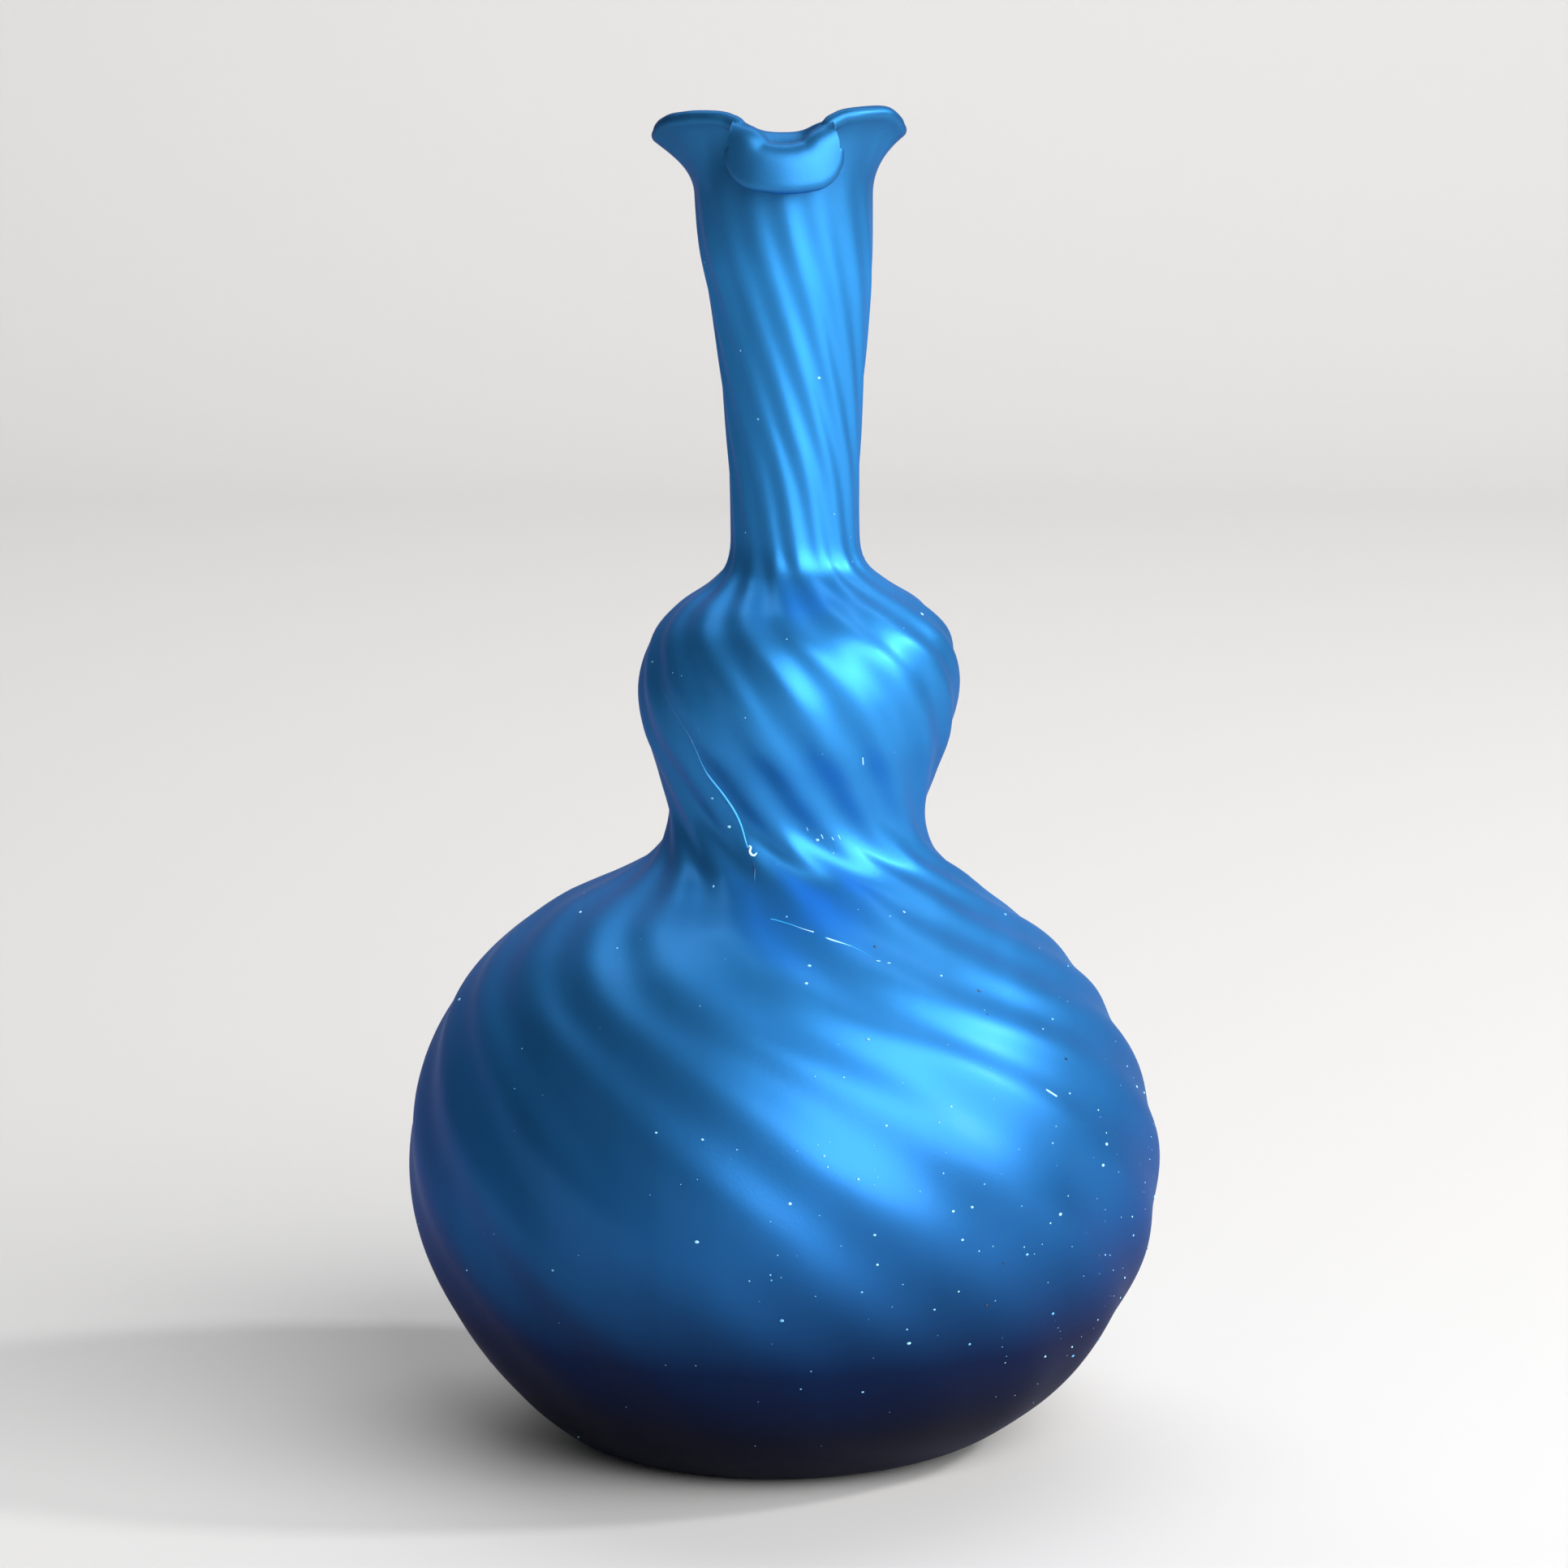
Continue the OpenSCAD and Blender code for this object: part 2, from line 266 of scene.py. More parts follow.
def lobeTree():
    # the outer face in a lobe: a bezier curve from the neck (T = 0) to the lip (T = 1)
    tree = bpy.data.node_groups.new("lobePoint", "GeometryNodeTree")
    for name in ("Azimuth", "T"):
        tree.interface.new_socket(name, in_out="INPUT", socket_type="NodeSocketFloat")
    tree.interface.new_socket("Position", in_out="OUTPUT", socket_type="NodeSocketVector")
    net = Net(tree)
    given = net.node("NodeGroupInput")
    azimuth, t = given.out("Azimuth"), given.out("T")
    u = 1 - t
    wrapped = azimuth - 360 * net.maths("FLOOR", azimuth / 360)
    neckR, neckZ = wall["outline"][-1][0] * scaleR, wall["outline"][-1][1] * scaleZ
    lipR = overAzimuth(net, wrapped, 1, 10, 25) * scaleR
    lipZ = overAzimuth(net, wrapped, 2, 205, 222) * scaleZ
    bendR = overAzimuth(net, wrapped, 3, 8, 20) * scaleR
    bendZ = overAzimuth(net, wrapped, 4, 205, 225) * scaleZ
    riseZ = neckZ + overAzimuth(net, wrapped, 5, 0, 10) * scaleZ
    drawn = overAzimuth(net, wrapped, 6, -10, 10)
    b0, b1, b2, b3 = u * u * u, 3 * u * u * t, 3 * u * t * t, t * t * t
    r = (b0 + b1) * neckR + b2 * bendR + b3 * lipR
    z = b0 * neckZ + b1 * riseZ + b2 * bendZ + b3 * lipZ
    angle = (azimuth + drawn * t * t) * math.radians(1)
    place = net.node("ShaderNodeCombineXYZ", None,
                     {"X": r * net.maths("COSINE", angle), "Y": r * net.maths("SINE", angle), "Z": z})
    net.node("NodeGroupOutput", None, {"Position": place})
    return tree


def wallTree():
    # one layer of the wall: a grid rolled up around the leaning axis
    tree = bpy.data.node_groups.new("glassLayer", "GeometryNodeTree")
    for name, kind in [("Outline", "Object"), ("Material", "Material"), ("Columns", "Int"),
                       ("Outer Levels", "Int"), ("Edge Levels", "Int"), ("Inner Levels", "Int"),
                       ("Ribs", "Float"), ("Rib Rise", "Float"), ("Outer Depth", "Float"),
                       ("Inner Depth", "Float"), ("Pool", "Float"), ("Wall", "Float"),
                       ("Outer Share", "Float"), ("Inner Share", "Float"),
                       ("Outer Lip", "Float"), ("Inner Lip", "Float"), ("Top", "Float"),
                       ("Waver", "Float")]:
        tree.interface.new_socket(name, in_out="INPUT", socket_type="NodeSocket" + kind)
    tree.interface.new_socket("Geometry", in_out="OUTPUT", socket_type="NodeSocketGeometry")
    net = Net(tree)
    given = net.node("NodeGroupInput")
    columns, outerLevels = given.out("Columns"), given.out("Outer Levels")
    edgeLevels, innerLevels = given.out("Edge Levels"), given.out("Inner Levels")
    levels = outerLevels + edgeLevels + innerLevels
    grid = net.node("GeometryNodeMeshGrid", None,
                    {"Size X": 1.0, "Size Y": 1.0, "Vertices X": columns + 1, "Vertices Y": levels})
    sheet = net.node("ShaderNodeSeparateXYZ", None, {"Vector": net.node("GeometryNodeInputPosition")})
    around = sheet.out("X") + 0.5
    level = net.maths("ROUND", (sheet.out("Y") + 0.5) * (levels - 1))

    # along the meridian: 0 in the middle of the base, 1 at the lip
    outerPlace = level / (outerLevels - 1)
    innerPlace = (levels - 1 - level) / (innerLevels - 1)
    isOuter = level < outerLevels - 0.5
    isInner = level > outerLevels + edgeLevels - 0.5
    isEdge = 1 - isOuter - isInner

    # the lobes take a larger share of the levels than of the meridian
    bodyShare, tiny = wall["bodyShare"], 1e-5
    isInside = level > outerLevels + edgeLevels * 0.5
    place = mixed(net, isInside, net.maths("MINIMUM", outerPlace, 1.0),
                  net.maths("MINIMUM", innerPlace, 1.0))
    levelShare = mixed(net, isInside, given.out("Outer Share"), given.out("Inner Share"))
    inBody = net.maths("MINIMUM", place / levelShare, 1.0) * bodyShare
    inLobe = net.maths("MAXIMUM", (place - levelShare) / (1 + tiny - levelShare), 0.0) * (1 - bodyShare)
    along = (inBody + inLobe) * given.out("Top")
    isLobe = along > bodyShare + tiny
    profile = net.node("GeometryNodeObjectInfo", None, {"Object": given.out("Outline")})
    read = net.node("GeometryNodeSampleCurve", {"mode": "FACTOR"},
                    {"Curves": profile.out("Geometry"),
                     "Factor": net.maths("MINIMUM", along / bodyShare, 1.0)})
    onOutline = net.node("ShaderNodeSeparateXYZ", None, {"Vector": read.out("Position")})
    tangent = net.node("ShaderNodeSeparateXYZ", None, {"Vector": read.out("Tangent")})
    bodyR, bodyZ = onOutline.out("X"), onOutline.out("Z")

    # the azimuth turns with the ribs, up to the foot of the lip
    neckZ = wall["outline"][-1][1] * scaleZ
    turn = overHeight(net, net.maths("MINIMUM", bodyZ, neckZ), wall["turn"], -20, 320)
    azimuth = around * 360 + turn + wall["ribPhase"]
    angle = azimuth * math.radians(1)

    # in the lobes the outside and its normal are read from the lobe's curves
    t = net.maths("MAXIMUM", (along - bodyShare) / (1 - bodyShare), 0.0)
    lobe = lobeTree()

    def lobeAt(aside, onwards):
        made = net.node("GeometryNodeGroup", {"node_tree": lobe},
                        {"Azimuth": azimuth + aside, "T": t + onwards})
        return made.out("Position")

    degreesAside, shareOnwards = 0.8, 0.01
    sideways = net.vectors("SUBTRACT", lobeAt(degreesAside, 0.0), lobeAt(-degreesAside, 0.0))
    upwards = net.vectors("SUBTRACT", lobeAt(0.0, shareOnwards), lobeAt(0.0, -shareOnwards))
    lobeNormal = net.vectors("NORMALIZE", net.vectors("CROSS_PRODUCT", sideways, upwards))
    lobeReach = net.vectors("CROSS_PRODUCT", lobeNormal, net.vectors("NORMALIZE", sideways))

    # in the body the outside is a plain surface of revolution
    tangentR, tangentZ = tangent.out("X"), tangent.out("Z")
    length = net.maths("SQRT", tangentR * tangentR + tangentZ * tangentZ)
    outR, outZ = tangentZ / length, tangentR / length * -1.0
    cosine, sine = net.maths("COSINE", angle), net.maths("SINE", angle)
    bodyPlace = net.node("ShaderNodeCombineXYZ", None,
                         {"X": bodyR * cosine, "Y": bodyR * sine, "Z": bodyZ})
    bodyNormal = net.node("ShaderNodeCombineXYZ", None,
                          {"X": outR * cosine, "Y": outR * sine, "Z": outZ})
    outside = net.chosen(isLobe, bodyPlace, lobeAt(0.0, 0.0))
    normal = net.chosen(isLobe, bodyNormal, lobeNormal)
    outsideZ = net.node("ShaderNodeSeparateXYZ", None, {"Vector": outside}).out("Z")

    # ribs: cosine ridges that wander a little, cut below the outline
    ring = net.node("ShaderNodeCombineXYZ", None,
                    {"X": cosine * wall["wanderAround"], "Y": sine * wall["wanderAround"],
                     "Z": outsideZ * wall["wanderUp"]})
    slow = net.node("ShaderNodeTexNoise", None, {"Vector": ring, "Scale": 1.0, "Detail": 1.0})
    sway = (slow - 0.5) * (2 * wall["sway"])
    ribTurn = (around * 360 + sway) * (math.radians(1) * given.out("Ribs"))
    crest = 0.5 + 0.5 * net.maths("COSINE", ribTurn)
    rise = overHeight(net, outsideZ, wall["rise"], 0, 1)
    patchy = net.node("ShaderNodeTexNoise", None, {"Vector": ring, "Scale": 1.7, "Detail": 0.0})
    least, more = wall["patches"]
    cut = given.out("Rib Rise") * rise * (1 - crest) * (least + more * patchy)
    uneven = slow * given.out("Waver") * rise

    # how deep the point lies below the outline
    poolShare = net.node("ShaderNodeMapRange", {"interpolation_type": "SMOOTHSTEP"},
                         {"Value": outsideZ, "From Min": 0.0, "From Max": wall["poolHeight"] * scaleZ,
                          "To Min": 1.0, "To Max": 0.0})
    pooled = given.out("Pool") * poolShare
    lipLow, lipHigh = (z * scaleZ for z in wall["lipBlend"])
    lipShare = net.node("ShaderNodeMapRange", {"interpolation_type": "SMOOTHSTEP"},
                        {"Value": outsideZ, "From Min": lipLow, "From Max": lipHigh})
    depthOut = mixed(net, lipShare, given.out("Outer Depth"), given.out("Outer Lip")) + cut + uneven
    depthIn = mixed(net, lipShare, given.out("Inner Depth"), given.out("Inner Lip")) + pooled
    # the edge between the outside and the inside is half a circle in the lobes
    half = given.out("Wall") * 0.5
    edgeShare = (level - (outerLevels - 1)) / (edgeLevels + 1)
    edgeAngle = edgeShare * math.pi
    edgeDepth = mixed(net, isLobe, mixed(net, edgeShare, depthOut, depthIn),
                      half - half * net.maths("COSINE", edgeAngle))
    depth = mixed(net, isEdge, mixed(net, isInner, depthOut, depthIn), edgeDepth)
    reach = isEdge * isLobe * half * net.maths("SINE", edgeAngle)
    final = net.vectors("SUBTRACT", outside, net.vectors("SCALE", normal, depth))
    final = net.vectors("ADD", final, net.vectors("SCALE", lobeReach, reach))
    finalZ = net.node("ShaderNodeSeparateXYZ", None, {"Vector": final}).out("Z")
    lean = net.node("ShaderNodeCombineXYZ", None,
                    {"X": overHeight(net, finalZ, wall["lean"], -4, 4) * scaleR})
    spun = net.vectors("ADD", final, lean)
    shaped = net.node("GeometryNodeSetPosition", None,
                      {"Geometry": grid.out("Mesh"), "Position": spun})
    # what the material reads: the rib's crest, for painted light on the crests and painted shade in the
    # valleys, and a place that runs along the ribs
    ribAngle = around * (2 * math.pi)
    alongRib = net.node("ShaderNodeCombineXYZ", None,
                        {"X": net.maths("COSINE", ribAngle), "Y": net.maths("SINE", ribAngle),
                         "Z": finalZ * wall["drawnOut"]})
    stored = shaped
    for name, kind, value in [("ribCrest", "FLOAT", crest * isOuter),
                              ("alongRib", "FLOAT_VECTOR", alongRib)]:
        stored = net.node("GeometryNodeStoreNamedAttribute", {"data_type": kind, "domain": "POINT"},
                          {"Geometry": stored, "Name": name, "Value": value})
    closed = net.node("GeometryNodeMergeByDistance", None,
                      {"Geometry": stored, "Distance": wall["weld"] * mm})
    smooth = net.node("GeometryNodeSetShadeSmooth", None, {"Geometry": closed})
    sharp = net.node("GeometryNodeInputMeshEdgeAngle").out("Unsigned Angle") > math.radians(wall["sharp"])
    smooth = net.node("GeometryNodeSetShadeSmooth", {"domain": "EDGE"},
                      {"Geometry": smooth, "Selection": sharp, "Shade Smooth": False})
    real = net.node("GeometryNodeRealizeInstances", None, {"Geometry": smooth})
    dressed = net.node("GeometryNodeSetMaterial", None,
                       {"Geometry": real, "Material": given.out("Material")})
    net.node("NodeGroupOutput", None, {"Geometry": dressed})
    return tree


def grown(name, tree, values):
    # runs a geometry tree and gives back its result as a plain mesh object
    holder = bpy.data.objects.new(name + "Holder", bpy.data.meshes.new(name + "Holder"))
    bpy.context.scene.collection.objects.link(holder)
    modifier = holder.modifiers.new(name, "NODES")
    modifier.node_group = tree
    sockets = {item.name: item.identifier for item in tree.interface.items_tree
               if item.item_type == "SOCKET" and item.in_out == "INPUT"}
    for socket, value in values.items():
        modifier[sockets[socket]] = value
    bpy.context.view_layer.update()
    depsgraph = bpy.context.evaluated_depsgraph_get()
    mesh = bpy.data.meshes.new_from_object(holder.evaluated_get(depsgraph), depsgraph=depsgraph)
    holder.modifiers.remove(modifier)
    bpy.data.objects.remove(holder)
    mesh.name = name
    made = bpy.data.objects.new(name, mesh)
    bpy.context.scene.collection.objects.link(made)
    return made


def layer(name, tree, outline, material, settings):
    shared = {
        "Outline": outline, "Material": material, "Columns": wall["columns"], "Edge Levels": 9,
        "Ribs": float(wall["ribCount"]), "Rib Rise": 0.0, "Pool": 0.0, "Waver": 0.0,
        "Wall": (wall["casing"] + wall["lining"]) * scaleR, "Top": 1.0,
        "Outer Share": 0.88, "Inner Share": 0.6,     # of the levels, for the body
    }
    made = grown(name, tree, shared | settings)
    print(name, len(made.data.polygons), "faces")
    return made


def newMaterial(name):
    material = bpy.data.materials.new(name)
    material.use_nodes = True
    net = Net(material.node_tree)
    shader = material.node_tree.nodes["Principled BSDF"]
    return material, net, shader


def dress(net, shader, values):
    for name, value in values.items():
        if isinstance(value, Wire):
            net.tree.links.new(value.socket, shader.inputs[name])
        else:
            shader.inputs[name].default_value = value


blueGlass = {
    # colour of the satin blue at each share of the height: near black towards the bottom, partly for the
    # thick glass pooled in the base and partly painted shade where little light reaches the base; darker
    # again in the lip
    "tones": [(0.0, (0.001, 0.003, 0.012)), (0.05, (0.001, 0.004, 0.018)),
              (0.11, (0.003, 0.018, 0.075)), (0.20, (0.015, 0.120, 0.35)), (0.40, (0.030, 0.24, 0.60)),
              (0.66, (0.030, 0.25, 0.62)), (0.88, (0.034, 0.29, 0.70)), (0.95, (0.026, 0.19, 0.46)),
              (1.0, (0.022, 0.16, 0.38))],
    "edge": (0.16, 0.19, 0.46),      # tint of the grazing reflection
    "metallic": 0.7, "roughness": 0.47, "transmission": 0.35, "gloss": 0.25,
    "coat": 0.06, "coatRoughness": 0.3,
    "shade": 0.82,                   # of the tones, before clouds, the painted light and shade of the ribs, and streaks
    "clouds": 0.30, "cloudScale": 28.0, "cloudRoughness": 0.06,
    "crests": 0.14,                  # how much lighter a rib's crest is than its valley: painted highlight on the crests and painted shade in the valleys
    "streaks": 0.45, "streakScale": 15.0,
    "grain": 0.08, "grainDepth": 0.2, "grainScale": 1800.0,
}
clearGlass = {
    "colour": (0.020, 0.15, 0.38),   # the blue of the casing shines through it
    "metallic": 0.6, "roughness": 0.45, "transmission": 0.35, "gloss": 0.25,
}


def blueGlassMaterial():
    material, net, shader = newMaterial("satinBlueGlass")
    where = net.node("ShaderNodeTexCoord").out("Object")
    high = net.node("ShaderNodeSeparateXYZ", None, {"Vector": where}).out("Z") / casingHigh.z
    crest = net.node("ShaderNodeAttribute", {"attribute_name": "ribCrest"}).out("Fac")
    ribPlace = net.node("ShaderNodeAttribute", {"attribute_name": "alongRib"}).out("Vector")
    cloud = net.node("ShaderNodeTexNoise", None,
                     {"Vector": where, "Scale": blueGlass["cloudScale"], "Detail": 3.0})
    streak = net.node("ShaderNodeTexNoise", None,
                      {"Vector": ribPlace, "Scale": blueGlass["streakScale"], "Detail": 2.5})
    grain = net.node("ShaderNodeTexNoise", None,
                     {"Vector": where, "Scale": blueGlass["grainScale"], "Detail": 2.0})
    # the tone by height carries painted shade: the base is darker than its thick glass alone would make it
    tone = net.node("ShaderNodeValToRGB", {"stops": blueGlass["tones"]}, {"Fac": high})
    clouded = blueGlass["shade"] + blueGlass["clouds"] * cloud
    # painted light and shade: rib crests lighter, valleys darker
    shade = clouded + blueGlass["crests"] * (crest - 0.5) + blueGlass["streaks"] * (streak - 0.5)
    bump = net.node("ShaderNodeBump", None, {"Strength": blueGlass["grain"], "Height": grain,
                                             "Distance": blueGlass["grainDepth"] * mm})
    dress(net, shader, {
        "Base Color": net.vectors("SCALE", tone, shade), "Metallic": blueGlass["metallic"],
        "Roughness": blueGlass["roughness"] + blueGlass["cloudRoughness"] * (cloud - 0.5),
        "IOR": glassIor, "Transmission Weight": blueGlass["transmission"],
        "Coat Weight": blueGlass["coat"], "Coat Roughness": blueGlass["coatRoughness"],
        "Specular Tint": (*blueGlass["edge"], 1), "Specular IOR Level": blueGlass["gloss"],
        "Normal": bump,
    })
    return material


def clearGlassMaterial():
    material, net, shader = newMaterial("clearLining")
    dress(net, shader, {
        "Base Color": (*clearGlass["colour"], 1), "Metallic": clearGlass["metallic"],
        "Roughness": clearGlass["roughness"], "IOR": glassIor,
        "Transmission Weight": clearGlass["transmission"],
        "Specular IOR Level": clearGlass["gloss"], "Specular Tint": (*blueGlass["edge"], 1),
    })
    return material


outline = profileObject()
glassLayer = wallTree()
wholeWall = (wall["casing"] + wall["lining"]) * scaleR
# the blue outside, with the ribs, the whole lip and the base
casing = layer("blueCasing", glassLayer, outline, blueGlassMaterial(), {
    "Outer Levels": 280, "Inner Levels": 120, "Rib Rise": wall["ribRise"] * scaleR,
    "Waver": wall["waver"] * scaleR, "Outer Depth": 0.0, "Inner Depth": wall["casing"] * scaleR,
    "Outer Lip": 0.0, "Inner Lip": wholeWall})
# the clear inside, which ends below the lip
lining = layer("clearLining", glassLayer, outline, clearGlassMaterial(), {
    "Outer Levels": 60, "Inner Levels": 150, "Pool": wall["pool"] * scaleR,
    "Outer Depth": (wall["casing"] + wall["gap"]) * scaleR, "Inner Depth": wholeWall,
    "Outer Lip": (wall["casing"] + wall["lining"] - 2 * wall["gap"]) * scaleR, "Inner Lip": wholeWall,
    "Outer Share": 1.0, "Inner Share": 1.0, "Top": 0.91})
bpy.data.objects.remove(outline)
for piece, node in ((casing, "blue_casing"), (lining, "clear_lining")):
    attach(piece, "root")
    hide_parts(node)

# fine marks on the skin: stations are (azimuth, height, radius in mm, paleness)
# a stray thread with a curl at its end and a faint tail, and a scratch in two parts
trail = {
    "thread": [(207, 128.6, 0.03, 0.1), (211, 127.0, 0.05, 0.1), (216.3, 125.0, 0.06, 0.15),
               (226, 120.3, 0.08, 0.2), (229.5, 115.5, 0.11, 0.35), (231.8, 113.5, 0.18, 0.45),
               (237.9, 110.4, 0.18, 0.6), (242.9, 107.2, 0.17, 0.6), (247.2, 103.3, 0.12, 0.5),
               (249.0, 102.2, 0.08, 0.5)],
    "curl": [(248.9, 102.6, 0.12, 0.9), (249.9, 102.4, 0.17, 1.0), (249.7, 101.8, 0.20, 1.0),
             (250.6, 101.3, 0.20, 1.0), (252.0, 101.2, 0.17, 1.0), (252.8, 101.6, 0.08, 0.9)],
    "tail": [(251.0, 100.5, 0.05, 0.0), (253, 99, 0.10, 0.0), (254.8, 97.5, 0.04, 0.2)],
    "scratch": [(266.5, 92.6, 0.06, 0.7), (268, 92.5, 0.10, 0.5), (272.7, 92.0, 0.06, 0.6),
                (276, 91.5, 0.07, 0.8), (278.9, 91.1, 0.10, 1.0)],
    "scratchEnd": [(281.8, 90.4, 0.06, 0.5), (283.2, 90.1, 0.15, 0.9), (288.8, 89.0, 0.05, 0.6),
                   (292.6, 87.6, 0.03, 0.4)],
    "sides": 10, "steps": 8,
    "tones": [(0.0, (0.010, 0.035, 0.12)), (0.6, (0.04, 0.50, 1.0)), (1.0, (0.60, 0.90, 1.0))],
    # the threads' emission is a painted glow, so they look lit more than the lamps light them
    "roughness": 0.22, "coat": 0.2, "paintedGlow": 0.12,
}
seeds = {
    # short threads: the larger grains, drawn out by the blowing
    "dashes": [
        [(317.7, 66.5, 0.16, 1.0), (319.5, 65.2, 0.16, 1.0)],
        [(313.6, 81.6, 0.18, 0.0), (314.0, 81.4, 0.18, 0.0)],
        [(325.4, 70.1, 0.15, 0.0), (325.8, 69.9, 0.15, 0.0)],
        [(338.8, 138.8, 0.2, 0.7), (339.6, 138.5, 0.2, 0.7)],
        [(280.8, 104.6, 0.09, 0.9), (281.8, 103.9, 0.07, 0.9)],
        [(285.5, 104.1, 0.08, 0.9), (286.4, 103.6, 0.07, 0.9)],
        [(288.5, 104.4, 0.08, 0.9), (289.4, 103.7, 0.07, 0.9)],
        [(274.3, 105.8, 0.07, 0.6), (275.1, 105.2, 0.07, 0.6)],
        [(295.2, 117.3, 0.12, 0.9), (296.0, 116.1, 0.12, 0.9)],
        [(293.2, 87.1, 0.09, 0.8), (294.0, 87.0, 0.09, 0.8)],
        [(295.6, 86.7, 0.09, 0.8), (296.3, 86.6, 0.09, 0.8)],
        [(308.2, 92.7, 0.15, 1.0), (308.6, 92.5, 0.15, 1.0)],
        [(240.4, 96.4, 0.14, 0.8), (240.9, 96.2, 0.14, 0.8)],
    ],
    "sides": 8, "steps": 2,
    # scattered grains: per square metre all over, and in the cluster at one side
    "everywhere": 6000.0, "cluster": 42000.0, "clusterAzimuth": 312, "clusterHeights": (12, 42, 84),
    "clusterPull": 3.0,      # how tightly they keep to the cluster's azimuth
    "lowest": 6, "highest": 200, "facing": 0.15,
    "smallest": 0.06, "largest": 0.27,
    "rareness": 3.0,         # of the large ones
    "stretch": (1.0, 1.5), "flatness": 0.7,
    "darkShare": 0.07, "paleness": (0.35, 1.0), "randomSeed": 5,
    "tones": [(0.0, (0.004, 0.012, 0.04)), (0.3, (0.05, 0.30, 0.60)), (1.0, (0.40, 0.78, 0.95))],
    "roughness": 0.4, "coat": 0.2, "paintedGlow": 0.0,
}
# the button under the base, in millimetres: it has a round rim and is hollowed a little below
pontil = {
    "columns": 72, "rings": 4, "edgeSteps": 8,
    "round": 0.4, "dome": 0.1, "domeShare": 0.95, "waver": 0.025,
    "colour": (0.012, 0.05, 0.17), "roughness": 0.12, "transmission": 0.3,
}


def onSkin(skin, azimuth, height):
    # the point of the outside at an azimuth and a nominal height
    lean = wall["lean"]
    low, high = next((a, b) for a, b in zip(lean, lean[1:]) if height <= b[0])
    share = (height - low[0]) / (high[0] - low[0])
    middle = Vector(((low[1] + share * (high[1] - low[1])) * scaleR, 0, height * scaleZ))
    way = Vector((math.cos(math.radians(azimuth)), math.sin(math.radians(azimuth)), 0))
    farOut = 0.1
    return skin.ray_cast(middle + way * farOut, -way)[0]


def between(p, q, r, s, t):
    # a catmull-rom curve's value between q (t = 0) and r (t = 1)
    bent = (2 * p - 5 * q + 4 * r - s) + t * (3 * q - p - 3 * r + s)
    return q + 0.5 * t * ((r - p) + t * bent)


def smoothed(stations, steps):
    # a smooth curve through tuples, each value on its own
    ends = [stations[0], *stations, stations[-1]]
    made = []
    for four in zip(ends, ends[1:], ends[2:], ends[3:]):
        for k in range(steps):
            made.append([between(*values, k / steps) for values in zip(*four)])
    return made + [stations[-1]]


def threadObject(name, skin, threads, steps):
    # curves that lie on the skin; the tilt of a point carries its paleness
    curve = bpy.data.curves.new(name, "CURVE")
    curve.dimensions = "3D"
    thinnest = 0.02
    for stations in threads:
        points = smoothed(stations, steps)
        spline = curve.splines.new("POLY")
        spline.points.add(len(points) - 1)
        for point, (azimuth, height, radius, pale) in zip(spline.points, points):
            point.co = (*onSkin(skin, azimuth, height), 1)
            point.radius = max(radius, thinnest)
            point.tilt = pale
    made = bpy.data.objects.new(name, curve)
    bpy.context.scene.collection.objects.link(made)
    return made


def threadTree():
    # round threads of glass with closed ends
    tree = bpy.data.node_groups.new("glassThread", "GeometryNodeTree")
    for name, kind in [("Threads", "Object"), ("Sides", "Int"), ("Material", "Material")]:
        tree.interface.new_socket(name, in_out="INPUT", socket_type="NodeSocket" + kind)
    tree.interface.new_socket("Geometry", in_out="OUTPUT", socket_type="NodeSocketGeometry")
    net = Net(tree)
    given = net.node("NodeGroupInput")
    threads = net.node("GeometryNodeObjectInfo", None, {"Object": given.out("Threads")}).out("Geometry")
    stored = net.node("GeometryNodeStoreNamedAttribute", {"data_type": "FLOAT", "domain": "POINT"},
                      {"Geometry": threads, "Name": "pale",
                       "Value": net.node("GeometryNodeInputCurveTilt")})
    flat = net.node("GeometryNodeSetCurveTilt", None, {"Curve": stored, "Tilt": 0.0})
    circle = net.node("GeometryNodeCurvePrimitiveCircle", None,
                      {"Resolution": given.out("Sides"), "Radius": mm})
    tube = net.node("GeometryNodeCurveToMesh", None,
                    {"Curve": flat, "Profile Curve": circle, "Fill Caps": True,
                     "Scale": net.node("GeometryNodeInputRadius")})
    smooth = net.node("GeometryNodeSetShadeSmooth", None, {"Geometry": tube})
    real = net.node("GeometryNodeRealizeInstances", None, {"Geometry": smooth})
    dressed = net.node("GeometryNodeSetMaterial", None,
                       {"Geometry": real, "Material": given.out("Material")})
    net.node("NodeGroupOutput", None, {"Geometry": dressed})
    return tree


